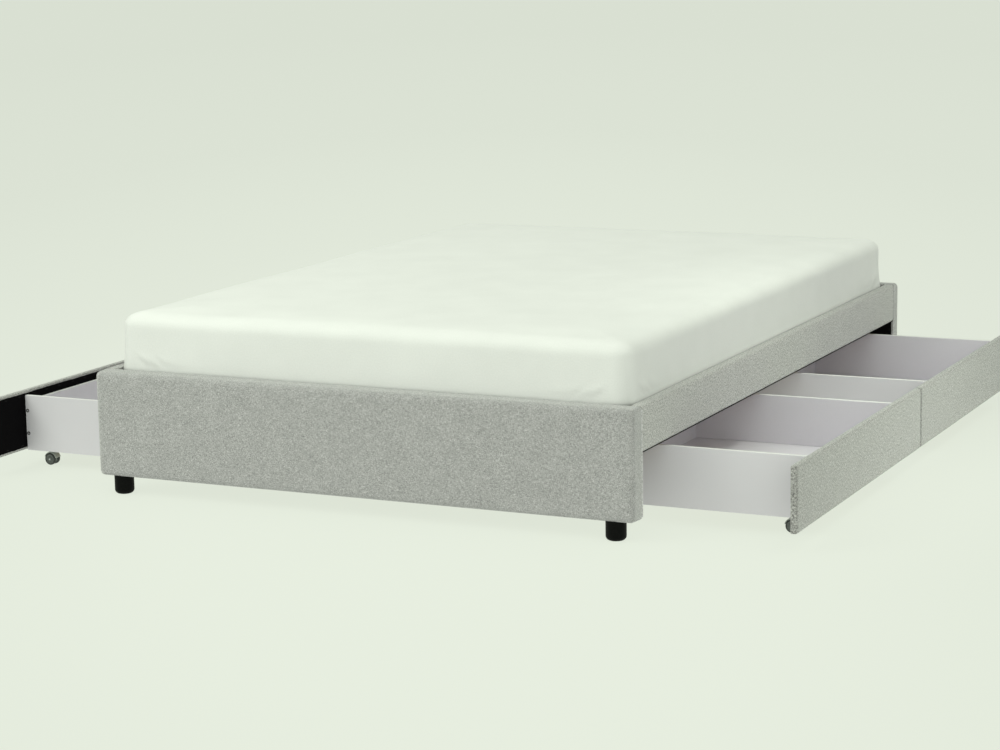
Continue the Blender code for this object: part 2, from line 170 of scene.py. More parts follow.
class Finish:
    """A material in the making."""

    def __init__(self, name):
        self.material = bpy.data.materials.new(name)
        self.material.use_nodes = True
        self.nodes = self.material.node_tree.nodes
        self.links = self.material.node_tree.links
        self.nodes.clear()

    def node(self, kind, settings=None, sockets=None, output=0):
        """Adds a node with its settings, then its sockets' values or links. Gives one output."""
        made = self.nodes.new(f"ShaderNode{kind}")
        for key, value in (settings or {}).items():
            if key == "stops":
                self.set_stops(made.color_ramp.elements, value)
            else:
                setattr(made, key, value)
        for key, value in (sockets or {}).items():
            if isinstance(value, Signal):
                self.links.new(value.socket, made.inputs[key])
            else:
                made.inputs[key].default_value = value
        return Signal(self, made.outputs[output])

    def set_stops(self, elements, stops):
        while len(elements) < len(stops):
            elements.new(1)
        for element, (place, colour) in zip(elements, stops):
            element.position = place
            element.color = (*colour, 1)

    def sum_of(self, operation, *values):
        return self.node("Math", {"operation": operation}, dict(enumerate(values)))

    def split(self, vector):
        made = self.node("SeparateXYZ", {}, {0: vector})
        outputs = made.socket.node.outputs
        return [Signal(self, outputs[index]) for index in range(3)]

    def joined(self, x, y, z=0.0):
        return self.node("CombineXYZ", {}, {0: x, 1: y, 2: z})

    def place(self):
        return self.node("TexCoord", output=3)

    def cloth_place(self):
        """Across and along a piece's own flat cloth, in metres."""
        across, along, _ = self.split(self.node("UVMap", {"uv_map": "cloth"}))
        return across, along

    def stretched(self, vector, scale):
        return self.node("Mapping", {}, {"Vector": vector, "Scale": scale})

    def noise(self, vector, scale, detail=2.0, roughness=0.5):
        sockets = {"Vector": vector, "Scale": scale, "Detail": detail, "Roughness": roughness}
        return self.node("TexNoise", {}, sockets)

    def ramp(self, value, *stops):
        return self.node("ValToRGB", {"stops": stops}, {0: value})

    def mixed(self, share, first, second, blend="MIX"):
        """A colour between two, or their product and so on."""
        settings = {"data_type": "RGBA", "blend_type": blend}
        first, second = (
            value if isinstance(value, Signal) else (*value, 1) for value in (first, second)
        )
        return self.node("Mix", settings, {0: share, 6: first, 7: second}, output=2)

    def bump(self, height, distance, strength, under=None):
        sockets = {"Height": height, "Distance": distance, "Strength": strength}
        if under is not None:
            sockets["Normal"] = under
        return self.node("Bump", {}, sockets)

    def done(self, colour, roughness, normal, **more):
        """Closes the material with a Principled shader; a socket's name has _ for its spaces."""
        sockets = {"Base Color": colour, "Roughness": roughness, "Normal": normal}
        sockets.update((key.replace("_", " "), value) for key, value in more.items())
        self.node_output(self.node("BsdfPrincipled", {}, sockets))
        return self.material

    def node_output(self, shader):
        output = self.nodes.new("ShaderNodeOutputMaterial")
        self.links.new(shader.socket, output.inputs["Surface"])


def plain_weave(across, along, yarn):
    """(height, warp on top, warp number, weft number) of a plain weave with that yarn pitch."""
    warp, weft = across / yarn, along / yarn
    warp_number, weft_number = warp.floor(), weft.floor()
    weft_on_top = (warp_number + weft_number).size().modulo(2)
    warp_bulge = 1 - ((warp - warp_number) * 2 - 1).power(2)
    weft_bulge = 1 - ((weft - weft_number) * 2 - 1).power(2)
    warp_height = warp_bulge * (0.55 + weft_bulge * 0.45)
    weft_height = weft_bulge * (0.55 + warp_bulge * 0.45)
    height = warp_height * (1 - weft_on_top) + weft_height * weft_on_top
    return height, 1 - weft_on_top, warp_number, weft_number


# of the yarns: up to which noise value, grey, and how much more red and blue than that
UPHOLSTERY_TONES = (
    (0.20, 0.15, 1.02, 1.03),
    (0.43, 0.36, 1.01, 1.02),
    (0.57, 0.52, 1.01, 1.02),
    (0.82, 0.86, 1.01, 1.02),
)


def make_upholstery(name, lightness_and_painted_light, heathering, flecking, warmth=1.0):
    """Light grey melange cloth: a plain weave of yarns that change tone along their length."""
    finish = Finish(name)
    across, along = finish.cloth_place()
    spot = finish.joined(across, along)
    height, warp_on_top, warp_number, weft_number = plain_weave(across, along, YARN)
    fleck = 7 * MM
    warp_tone = finish.noise(finish.joined(warp_number * 3.7, along / fleck), 1.0, 2.0, 0.7)
    weft_tone = finish.noise(finish.joined(across / fleck, weft_number * 3.7, 5.0), 1.0, 2.0, 0.7)
    tone = warp_tone * warp_on_top + weft_tone * (1 - warp_on_top)
    heather = finish.noise(spot, heathering, 2.0, 0.6)
    patch = finish.noise(spot, 21.0, 3.0, 0.6)
    tone = tone + (heather - 0.5) * flecking + (patch - 0.5) * 0.10
    stops = []
    # The lightness scales the yarns' greys. For the rails, the drawer fronts and the welt, it also
    # holds painted light and shade.
    for threshold, grey, red, blue in UPHOLSTERY_TONES:
        grey = min(0.9, lightness_and_painted_light * grey)
        stops.append((threshold, (grey * red, grey * 0.99, grey * blue / warmth)))
    colour = finish.ramp(tone, *stops)
    # Painted shade: the colour is darkened in the weave's valleys between the yarns.
    valley = finish.ramp(height, (0.0, (0.70,) * 3), (0.7, (1.0,) * 3))
    colour = finish.mixed(1.0, colour, valley, "MULTIPLY")
    fuzz = finish.noise(spot, 2600.0, 3.0, 0.7)
    soft = finish.noise(spot, 38.0, 2.0)
    normal = finish.bump(soft, 0.8 * MM, 0.35)
    normal = finish.bump(height + fuzz * 0.35 + heather * 1.2, 0.45 * MM, 0.75, normal)
    return finish.done(
        colour, 0.92, normal, Specular_IOR_Level=0.2, Sheen_Weight=1.0, Sheen_Roughness=0.38
    )


def make_sheet():
    """White brushed cotton: a fine weave under a soft nap."""
    finish = Finish("cotton_sheet")
    across, along = finish.cloth_place()
    spot = finish.joined(across, along)
    height, *_ = plain_weave(across, along, SHEET_YARN)
    nap = finish.noise(spot, 260.0, 4.0, 0.65)
    drift = finish.noise(spot, 7.0, 3.0)
    tone = nap * 0.6 + drift * 0.4
    colour = finish.ramp(tone, (0.30, (0.800, 0.800, 0.806)), (0.70, (0.885, 0.885, 0.890)))
    normal = finish.bump(drift, 6 * MM, 0.25)
    normal = finish.bump(nap, 1.1 * MM, 0.30, normal)
    normal = finish.bump(height, 0.16 * MM, 0.35, normal)
    return finish.done(
        colour, 0.9, normal, Specular_IOR_Level=0.25, Sheen_Weight=0.15, Sheen_Roughness=0.6
    )


def make_ticking():
    """The mattress's own cover: off-white cloth with a woven diamond."""
    finish = Finish("mattress_ticking")
    across, along = finish.cloth_place()
    diamond = 28 * MM
    first = ((across + along) / diamond).fraction()
    second = ((across - along) / diamond).fraction()
    quilt = (first * 2 - 1).size().power(6) + (second * 2 - 1).size().power(6)
    height, *_ = plain_weave(across, along, 1.2 * MM)
    colour = finish.ramp(quilt, (0.0, (0.80, 0.79, 0.765)), (1.0, (0.66, 0.655, 0.64)))
    normal = finish.bump(1 - quilt, 1.2 * MM, 0.6)
    normal = finish.bump(height, 0.2 * MM, 0.5, normal)
    return finish.done(colour, 0.9, normal, Sheen_Weight=0.1)


def make_backing():
    """Black spun-bonded cloth, tacked over the backs of the padded boards."""
    finish = Finish("black_backing")
    place = finish.place()
    fibre = finish.noise(place, 900.0, 4.0, 0.75)
    dimple = finish.node("TexVoronoi", {"feature": "F1"}, {"Vector": place, "Scale": 520.0})
    colour = finish.ramp(fibre, (0.35, (0.0014, 0.0012, 0.0016)), (0.75, (0.0042, 0.0036, 0.0046)))
    normal = finish.bump(dimple + fibre * 0.5, 0.25 * MM, 0.5)
    return finish.done(colour, 0.9, normal, Specular_IOR_Level=0.06)


def make_melamine():
    """Pale lilac-grey melamine on the drawer boards' faces, with a fine pearl grain."""
    finish = Finish("melamine")
    place = finish.place()
    pearl = finish.noise(place, 420.0, 3.0, 0.6)
    drift = finish.noise(place, 3.5, 3.0)
    scuff = finish.noise(finish.stretched(place, (6, 6, 40)), 4.0, 5.0, 0.65)
    tone = pearl * 0.35 + drift * 0.65
    colour = finish.ramp(tone, (0.3, (0.715, 0.684, 0.752)), (0.7, (0.765, 0.734, 0.802)))
    normal = finish.bump(pearl, 0.12 * MM, 0.35)
    return finish.done(colour, 0.38 + scuff * 0.16, normal, Specular_IOR_Level=0.45)


def make_edge_band():
    """The white band glued on the boards' edges."""
    finish = Finish("edge_band")
    place = finish.place()
    drift = finish.noise(finish.stretched(place, (1, 1, 8)), 30.0, 3.0)
    colour = finish.ramp(drift, (0.3, (0.865, 0.850, 0.875)), (0.7, (0.915, 0.900, 0.925)))
    normal = finish.bump(finish.noise(place, 700.0, 2.0), 0.06 * MM, 0.4)
    return finish.done(colour, 0.32, normal)


def make_wood(name, grain_axis, light, dark):
    """Sawn softwood whose grain runs along one axis."""
    finish = Finish(name)
    place = finish.place()
    long_way, fine = [26.0] * 3, [900.0] * 3
    long_way[grain_axis], fine[grain_axis] = 1.3, 14.0
    figure = finish.noise(finish.stretched(place, long_way), 1.0, 4.0, 0.55)
    rings = 1 - ((figure * 9).fraction() * 2 - 1).size()
    fibre = finish.noise(finish.stretched(place, fine), 1.0, 3.0, 0.6)
    blush = finish.noise(place, 2.3, 2.0)
    colour = finish.mixed(rings.power(2) * 0.55 + fibre * 0.35, light, dark)
    warm = finish.ramp(blush, (0.3, (0.93, 0.90, 0.86)), (0.7, (1.0, 1.0, 1.0)))
    colour = finish.mixed(1.0, colour, warm, "MULTIPLY")
    normal = finish.bump(fibre + rings * 0.4, 0.25 * MM, 0.45)
    return finish.done(colour, 0.62, normal, Specular_IOR_Level=0.35)


def make_hardboard():
    """The bare underside of a drawer's floor."""
    finish = Finish("hardboard_underside")
    place = finish.place()
    fibre = finish.noise(place, 260.0, 5.0, 0.7)
    colour = finish.ramp(fibre, (0.3, (0.20, 0.125, 0.07)), (0.7, (0.33, 0.22, 0.13)))
    mesh_mark = (finish.noise(place, 1100.0, 1.0) - 0.5) * 0.5
    normal = finish.bump(fibre + mesh_mark, 0.2 * MM, 0.6)
    return finish.done(colour, 0.7, normal)


def make_black_lacquer():
    """Satin black on the turned legs."""
    finish = Finish("black_lacquer")
    place = finish.place()
    peel = finish.noise(place, 240.0, 2.0)
    wear = finish.noise(finish.stretched(place, (40, 40, 90)), 3.0, 4.0, 0.7)
    colour = finish.ramp(wear, (0.45, (0.0022, 0.0024, 0.0020)), (0.80, (0.0060, 0.0062, 0.0056)))
    normal = finish.bump(peel, 0.10 * MM, 0.5)
    return finish.done(colour, 0.42 + wear * 0.18, normal, Specular_IOR_Level=0.08)


def make_zinc():
    """Zinc-plated steel with its fine spangle."""
    finish = Finish("zinc_plated_steel")
    place = finish.place()
    spangle = finish.node("TexVoronoi", {"feature": "F1"}, {"Vector": place, "Scale": 260.0}, 1)
    tone = finish.node("RGBToBW", {}, {0: spangle})
    smear = finish.noise(place, 60.0, 4.0, 0.6)
    shade = tone * 0.4 + smear * 0.6
    colour = finish.ramp(shade, (0.25, (0.50, 0.51, 0.53)), (0.75, (0.72, 0.73, 0.74)))
    normal = finish.bump(smear, 0.08 * MM, 0.4)
    return finish.done(colour, 0.26 + tone * 0.18, normal, Metallic=1.0)


def make_plastic(name, dark, light, roughness, grain=600.0):
    """Moulded plastic with a fine spark-eroded grain and a little dust in it."""
    finish = Finish(name)
    place = finish.place()
    skin = finish.noise(place, grain, 2.0)
    dust = finish.noise(place, 90.0, 4.0, 0.7)
    colour = finish.ramp(dust, (0.35, dark), (0.75, light))
    normal = finish.bump(skin, 0.05 * MM, 0.5)
    return finish.done(colour, roughness + dust * 0.12, normal)


# The panels' cloth keeps the cloth's own tone. The rails' cloth is a copy painted lighter, and the
# drawer fronts' cloth is a copy painted darker: painted light and painted shade.
PANEL_CLOTH = make_upholstery("upholstery_cloth", 1.05, 700.0, 1.3)
RAIL_CLOTH_PAINTED_LIGHTER = make_upholstery("upholstery_cloth_rail_painted_lighter", 1.17, 230.0, 1.3, 1.03)
FRONT_CLOTH_PAINTED_DARKER = make_upholstery("upholstery_cloth_front", 0.90, 210.0, 1.3, 1.03)
# The welt's cloth is painted pale: a painted highlight along the panels' back edges.
WELT_CLOTH_PAINTED_HIGHLIGHT = make_upholstery("upholstery_cloth_welt_painted_highlight", 1.6, 400.0, 0.2)
SHEET = make_sheet()
TICKING = make_ticking()
BACKING = make_backing()
MELAMINE = make_melamine()
EDGE_BAND = make_edge_band()
SLAT_WOOD = make_wood("pine_across", 0, (0.74, 0.56, 0.36), (0.50, 0.32, 0.16))
RAIL_WOOD = make_wood("pine_lengthwise", 1, (0.70, 0.53, 0.34), (0.47, 0.30, 0.15))
HARDBOARD = make_hardboard()
BLACK_LACQUER = make_black_lacquer()
ZINC = make_zinc()
BLACK_SCREW = make_plastic("blackened_screw", (0.004, 0.004, 0.005), (0.010, 0.010, 0.010), 0.75)
TREAD = make_plastic("wheel_tread", (0.030, 0.033, 0.032), (0.065, 0.070, 0.067), 0.6)
HUB = make_plastic("wheel_hub", (0.105, 0.115, 0.112), (0.17, 0.18, 0.175), 0.38)
HOOD = make_plastic("castor_hood", (0.40, 0.43, 0.415), (0.50, 0.535, 0.515), 0.36)
TAPE = make_plastic("slat_tape", (0.62, 0.60, 0.55), (0.74, 0.72, 0.67), 0.8, 900.0)


# ---- making pieces ----


def add_piece(name, bm, finishes, body, replaces=(), smooth_below=38):
    """Makes a bmesh a piece that rides on a body; edges past smooth_below degrees stay crisp."""
    limit = math.radians(smooth_below)
    for face in bm.faces:
        face.smooth = True
    for edge in bm.edges:
        edge.smooth = len(edge.link_faces) == 2 and edge.calc_face_angle(math.pi) < limit
    mesh = bpy.data.meshes.new(name)
    bm.to_mesh(mesh)
    bm.free()
    piece = bpy.data.objects.new(name, mesh)
    show(piece)
    for finish in finishes:
        mesh.materials.append(finish)
    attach(piece, body)
    if replaces:
        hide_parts(*replaces)
    return piece


def even_out(piece):
    """Keeps wide flat faces looking flat beside their bevels."""
    piece.modifiers.new("even_out", "WEIGHTED_NORMAL").keep_sharp = True


def show(thing):
    bpy.context.scene.collection.objects.link(thing)


def unite(parts):
    """One bmesh out of several, which are used up."""
    whole = bmesh.new()
    for part in parts:
        carrier = bpy.data.meshes.new("carrier")
        part.to_mesh(carrier)
        part.free()
        whole.from_mesh(carrier)
        bpy.data.meshes.remove(carrier)
    return whole


def move(bm, matrix):
    bmesh.ops.transform(bm, matrix=matrix, verts=bm.verts)
    return bm


def cuboid(low, high, bevel, segments=2):
    """A box between two corners, its edges bevelled."""
    bm = bmesh.new()
    bmesh.ops.create_cube(bm, size=1)
    size = [abs(b - a) for a, b in zip(low, high)]
    centre = [(a + b) / 2 for a, b in zip(low, high)]
    bmesh.ops.scale(bm, vec=size, verts=bm.verts)
    bmesh.ops.translate(bm, vec=centre, verts=bm.verts)
    bevel_edges(bm, bm.edges[:], bevel, segments)
    return bm


def sharp_edges(bm, degrees):
    limit = math.radians(degrees)
    return [
        edge for edge in bm.edges if len(edge.link_faces) == 2 and edge.calc_face_angle(0) > limit
    ]


def bevel_edges(bm, edges, width, segments):
    round_edge = {"offset_type": "OFFSET", "profile": 0.5, "affect": "EDGES", "material": -1}
    size = {"offset": width, "segments": segments, "clamp_overlap": True}
    bmesh.ops.bevel(bm, geom=edges, **size, **round_edge)


def turned(profile, steps):
    """A body of revolution about Z, from (radius, height) pairs that close up on the axis."""
    bm = bmesh.new()
    verts = [bm.verts.new((radius, 0, height)) for radius, height in profile]
    edges = [bm.edges.new(pair) for pair in zip(verts, verts[1:])]
    full_turn = {"cent": (0, 0, 0), "axis": (0, 0, 1), "angle": math.tau, "use_merge": True}
    bmesh.ops.spin(bm, geom=verts + edges, steps=steps, **full_turn)
    bmesh.ops.remove_doubles(bm, verts=bm.verts, dist=MERGED)
    bmesh.ops.recalc_face_normals(bm, faces=bm.faces)
    return bm


def rod_profile(radius, start, end, bevel):
    """Half the outline of a round rod along Z with bevelled ends."""
    corners = ((radius - bevel, start), (radius, start + bevel), (radius, end - bevel))
    return [(0, start), *corners, (radius - bevel, end), (0, end)]


def facing(place, direction):
    """The matrix that stands a piece made along +Z at a place, along a direction."""
    upright = Vector(direction).to_track_quat("Z", "Y").to_matrix().to_4x4()
    return Matrix.Translation(place) @ upright


def reshape_recess(bm, radius, reach_at):
    """Reshapes a turned recess of that radius: reach_at gives its outline at each angle."""
    for vert in bm.verts:
        if abs(vert.co.xy.length - radius) <= MERGED:
            angle = math.atan2(vert.co.y, vert.co.x)
            vert.co.xy = Vector((math.cos(angle), math.sin(angle))) * reach_at(angle)


def cross_screw(radius, turn):
    """A countersunk head with a cross recess, its rim at z 0."""
    recess = radius * 0.62
    floor = -radius * 0.45
    profile = [(0, floor), (recess, floor), (recess, 0.25 * MM), (radius * 0.88, 0.18 * MM)]
    profile += [(radius, 0), (radius, -0.5 * MM), (0, -0.9 * radius)]
    bm = turned(profile, 32)
    half_slot = radius * 0.15

    def cross(angle):
        folded = abs((angle + math.pi / 4) % (math.pi / 2) - math.pi / 4)
        return min(recess, half_slot / max(math.sin(folded), 1e-3))

    reshape_recess(bm, recess, cross)
    return move(bm, Matrix.Rotation(turn, 4, "Z"))


def hex_bolt(radius, height):
    """A round bolt head with a hexagon socket, standing on z 0."""
    socket = radius * 0.55
    profile = [(0, height * 0.45), (socket, height * 0.45), (socket, height)]
    profile += [(radius * 0.9, height), (radius, height * 0.85), (radius, 0), (0, 0)]
    bm = turned(profile, 24)

    def hexagon(angle):
        folded = (angle + math.pi / 6) % (math.pi / 3) - math.pi / 6
        return socket * math.cos(math.pi / 6) / math.cos(folded)

    reshape_recess(bm, socket, hexagon)
    return bm


# ---- soft boxes ----


def stations(low, high, near_round, far_round, spaces):
    """Places of the grid lines from low to high: crowded at the rounded edges.

    spaces lists the (length or None, step) that fill the straight stretch; None takes the rest.
    """
    turn = math.pi / 4
    shares = [1 - math.tan(turn * (1 - row / ROUNDING_ROWS)) for row in range(ROUNDING_ROWS)]
    start, end = low + near_round, high - far_round
    left_over = (end - start) - sum(length for length, _ in spaces if length)
    places = [low + near_round * share for share in shares] + [start]
    for length, step in spaces:
        length = length or left_over
        count = max(1, round(length / step))
        base = places[-1]
        places += [base + length * number / count for number in range(1, count + 1)]
    return places + [high - far_round * share for share in reversed(shares)]


def gridded_box(lines):
    """A box whose faces are cut into a grid at the given places along the three axes."""
    bm = bmesh.new()
    bmesh.ops.create_cube(bm, size=1)
    for axis in range(3):
        along = [
            edge for edge in bm.edges if abs(edge.verts[0].co[axis] - edge.verts[1].co[axis]) > 0.5
        ]
        cuts = len(lines[axis]) - 2
        if cuts > 0:
            bmesh.ops.subdivide_edges(bm, edges=along, cuts=cuts, use_grid_fill=True)
    for vert in bm.verts:
        vert.co = [
            lines[axis][round((vert.co[axis] + 0.5) * (len(lines[axis]) - 1))] for axis in range(3)
        ]
    bm.normal_update()
    return bm


def end_of(low, high, axis, sign):
    """Where the box ends along an axis, at its high end or its low one."""
    return high[axis] if sign > 0 else low[axis]


def lay_cloth(bm, low, high, front):
    """UVs in metres, as one flat cloth folded back from the front face over the edges."""
    front_axis, front_sign = front
    across_axis = 1 if front_axis == 0 else 0
    up_axis = 1 if front_axis == 2 else 2
    face_place = end_of(low, high, front_axis, front_sign)
    cloth = bm.loops.layers.uv.new("cloth")
    for face in bm.faces:
        axis = max(range(3), key=lambda each: abs(face.normal[each]))
        sign = math.copysign(1, face.normal[axis])
        for loop in face.loops:
            place = loop.vert.co
            depth = abs(place[front_axis] - face_place)
            across, up = place[across_axis], place[up_axis]
            if axis == across_axis:
                across += sign * depth
            elif axis == up_axis:
                up += sign * depth
            loop[cloth].uv = (across, up)


def round_off(bm, low, high, front, near, far):
    """Rounds the box's edges: by the radii near (one per axis) at its front, far at its back."""
    front_axis, front_sign = front
    thickness = high[front_axis] - low[front_axis]
    face_place = end_of(low, high, front_axis, front_sign)
    for vert in bm.verts:
        depth = abs(vert.co[front_axis] - face_place) / thickness
        radii = [a + (b - a) * depth for a, b in zip(near, far)]
        inner = Vector(
            min(max(vert.co[axis], low[axis] + radii[axis]), high[axis] - radii[axis])
            for axis in range(3)
        )
        lean = Vector((vert.co[axis] - inner[axis]) / radii[axis] for axis in range(3))
        lean.normalize()
        vert.co = inner + Vector(lean[axis] * radii[axis] for axis in range(3))


def crown(bm, low, high, front, puff, lumps):
    """Pushes the front out, most in its middle, with the unevenness of wadding under cloth."""
    front_axis, front_sign = front
    others = [axis for axis in range(3) if axis != front_axis]
    thickness = high[front_axis] - low[front_axis]
    face_place = end_of(low, high, front_axis, front_sign)
    for vert in bm.verts:
        depth = abs(vert.co[front_axis] - face_place) / thickness
        if depth > 0.5:
            continue
        spread = [(vert.co[axis] - low[axis]) / (high[axis] - low[axis]) * 2 - 1 for axis in others]
        rise = puff * (1 - spread[0] ** 10) * (1 - spread[1] ** 4)
        rise += lumps * (noise.noise(vert.co * 11) + 0.6 * noise.noise(vert.co * 31))
        vert.co[front_axis] += front_sign * rise * (1 - 2 * depth)


def add_padded_board(node, cloth, body, front, step, near, far, puff, lumps):
    """A board with wadding under woven cloth, and black backing stapled on its back."""
    low, high = (list(corner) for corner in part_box(node))
    axis, sign = front
    inset = BACKING_THICKNESS + STAPLE[2]
    back_place = end_of(low, high, axis, -sign)
    if sign > 0:
        low[axis] += inset
        high[axis] -= puff * 0.6
    else:
        high[axis] -= inset
        low[axis] += puff * 0.6
    lines = []
    for each in range(3):
        first, last = (near[each], near[each])
        if each == axis:
            first, last = (far[each], near[each]) if sign > 0 else (near[each], far[each])
        lines.append(stations(low[each], high[each], first, last, [(None, step)]))
    bm = gridded_box(lines)
    lay_cloth(bm, low, high, front)
    round_off(bm, low, high, front, near, far)
    crown(bm, low, high, front, puff, lumps)
    cover = add_piece(f"{node}_cover", bm, [cloth], body, [node], 180)
    skin = cover.modifiers.new("soften", "SUBSURF")
    skin.levels = 1
    skin.render_levels = 1
    add_backing(node, low, high, axis, sign, back_place, body)


def add_backing(name, low, high, axis, sign, back_place, body):
    """The black cloth on a padded board's back and a row of staples round it."""
    others = [each for each in range(3) if each != axis]
    start, end = [0.0] * 3, [0.0] * 3
    start[axis] = back_place + sign * STAPLE[2]
    end[axis] = start[axis] + sign * BACKING_THICKNESS
    for each in others:
        start[each] = low[each] + BACKING_MARGIN
        end[each] = high[each] - BACKING_MARGIN
    bottom = [min(pair) for pair in zip(start, end)]
    top = [max(pair) for pair in zip(start, end)]
    lines = [[bottom[each], top[each]] for each in range(3)]
    for each in others:
        length = top[each] - bottom[each]
        count = max(1, round(length / BACKING_STEP))
        lines[each] = [bottom[each] + length * number / count for number in range(count + 1)]
    bm = gridded_box(lines)
    for vert in bm.verts:
        ripple = noise.noise(vert.co * 23)
        for each in others:
            if min(vert.co[each] - bottom[each], top[each] - vert.co[each]) < MERGED:
                vert.co[each] += 0.9 * MM * ripple
    add_piece(f"{name}_backing", bm, [BACKING], body)

    random.seed(name)
    staples = []
    for run, cross in (others, others[::-1]):
        length = top[run] - bottom[run] - 2 * STAPLE_FROM_EDGE
        count = max(2, round(length / STAPLE_PITCH))
        for edge in (bottom[cross] + STAPLE_FROM_EDGE, top[cross] - STAPLE_FROM_EDGE):
            for number in range(count + 1):
                place = Vector()
                place[axis] = start[axis] - sign * STAPLE[2] / 2
                place[run] = bottom[run] + STAPLE_FROM_EDGE + length * number / count
                place[run] += random.uniform(-4, 4) * MM
                place[run] = max(place[run], bottom[run] + STAPLE_FROM_CORNER)
                place[run] = min(place[run], top[run] - STAPLE_FROM_CORNER)
                place[cross] = edge
                staples.append(staple(place, axis, run, random.uniform(-12, 12)))
    add_piece(f"{name}_staples", unite(staples), [BLACK_SCREW], body)


def staple(place, axis, run, lean):
    """The wire bar of a staple that lies along `run` on a surface facing `axis`."""
    half = [length / 2 for length in STAPLE]
    bar = cuboid([-each for each in half], half, 0.18 * MM, 1)
    directions = [Vector(), Vector(), Vector()]
    directions[0][run] = 1
    directions[2][axis] = 1
    directions[1] = directions[2].cross(directions[0])
    turn = Matrix(directions).transposed().to_4x4()
    lean = Matrix.Rotation(math.radians(lean), 4, directions[2])
    return move(bar, Matrix.Translation(place) @ lean @ turn)


# ---- the bed's frame ----

BED = "bed_frame"

# roundings along X, Y and Z of a padded board's front and back edges, puff and lumps of its front
PANEL_PADDING = ((14 * MM, 10 * MM, 14 * MM), (4 * MM, 3.5 * MM, 4 * MM), 2.0 * MM, 0.35 * MM)
RAIL_PADDING = ((6 * MM, 4 * MM, 7 * MM), (3 * MM, 2 * MM, 3 * MM), 1.2 * MM, 0.3 * MM)
FRONT_PADDING = ((6.5 * MM, 7 * MM, 6.5 * MM), (3 * MM, 3 * MM, 3 * MM), 1.2 * MM, 0.25 * MM)


def add_upholstered_frame():
    for end, inward in ENDS:
        front = (1, -inward)
        add_padded_board(f"{end}_panel", PANEL_CLOTH, BED, front, PANEL_STEP, *PANEL_PADDING)
    for side, out in SIDES:
        front = (0, out)
        add_padded_board(f"side_rail_{side}", RAIL_CLOTH_PAINTED_LIGHTER, BED, front, PANEL_STEP, *RAIL_PADDING)


def add_panel_welts():
    """The narrow sewn welt down the back edge of each panel's ends, beside the rails; its pale
    cloth is a painted highlight.
    """
    for end, inward in ENDS:
        low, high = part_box(f"{end}_panel")
        inner = end_of(low, high, 1, inward)
        for side, out in SIDES:
            outer = end_of(low, high, 0, out)
            profile = rod_profile(WELT_RADIUS, low.z + 6 * MM, high.z - 6 * MM, 0.8 * MM)
            place = (outer - out * 0.6 * MM, inner - inward * 1.0 * MM, 0)
            welt = move(turned(profile, 16), Matrix.Translation(place))
            lay_cloth(welt, low, high, (0, out))
            add_piece(f"{end}_panel_welt_{side}", welt, [WELT_CLOTH_PAINTED_HIGHLIGHT], BED)


def add_rail_edges():
    """The black lining turned under the foot of each side rail."""
    for side, out in SIDES:
        low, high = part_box(f"side_rail_{side}")
        outer = end_of(low, high, 0, out)
        ends = sorted((outer - out * 3.2 * MM, outer - out * 1.0 * MM))
        bottom = (ends[0], low.y + 1 * MM, low.z)
        top = (ends[1], high.y - 1 * MM, low.z + 2.4 * MM)
        strip = cuboid(bottom, top, 0.5 * MM)
        add_piece(f"side_rail_{side}_edge", strip, [BACKING], BED)


def dress_plain_frame_parts():
    """The CAD parts whose shape is final: each gets its finish."""
    dressed = {BLACK_LACQUER: ["centre_leg"], ZINC: [], RAIL_WOOD: ["centre_beam"]}
    for side, _ in SIDES:
        dressed[RAIL_WOOD].append(f"slat_ledge_{side}")
        dressed[ZINC] += [f"corner_bracket_{side}_{end}" for end, _ in ENDS]
    dressed[ZINC] += [f"beam_hanger_{end}" for end, _ in ENDS]
    for finish, nodes in dressed.items():
        for node in nodes:
            mesh = frame["nodes"][node].data
            mesh.materials.clear()
            mesh.materials.append(finish)


def add_legs():
    """Turned legs with a rounded foot."""
    for side, _ in SIDES:
        for end, _ in ENDS:
            node = f"leg_{end}_{side}"
            low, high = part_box(node)
            radius = (high.x - low.x) / 2
            height = high.z - low.z
            profile = [(0, 0), (radius - LEG_ROUND, 0)]
            for step in range(1, 8):
                angle = math.pi / 2 * step / 7
                reach, rise = LEG_ROUND * math.sin(angle), LEG_ROUND * math.cos(angle)
                profile.append((radius - LEG_ROUND + reach, LEG_ROUND - rise))
            profile += [(radius, height - 1.2 * MM), (radius - 1.2 * MM, height), (0, height)]
            leg = turned(profile, 48)
            move(leg, Matrix.Translation(((low.x + high.x) / 2, (low.y + high.y) / 2, low.z)))
            add_piece(f"{node}_turned", leg, [BLACK_LACQUER], BED, [node])


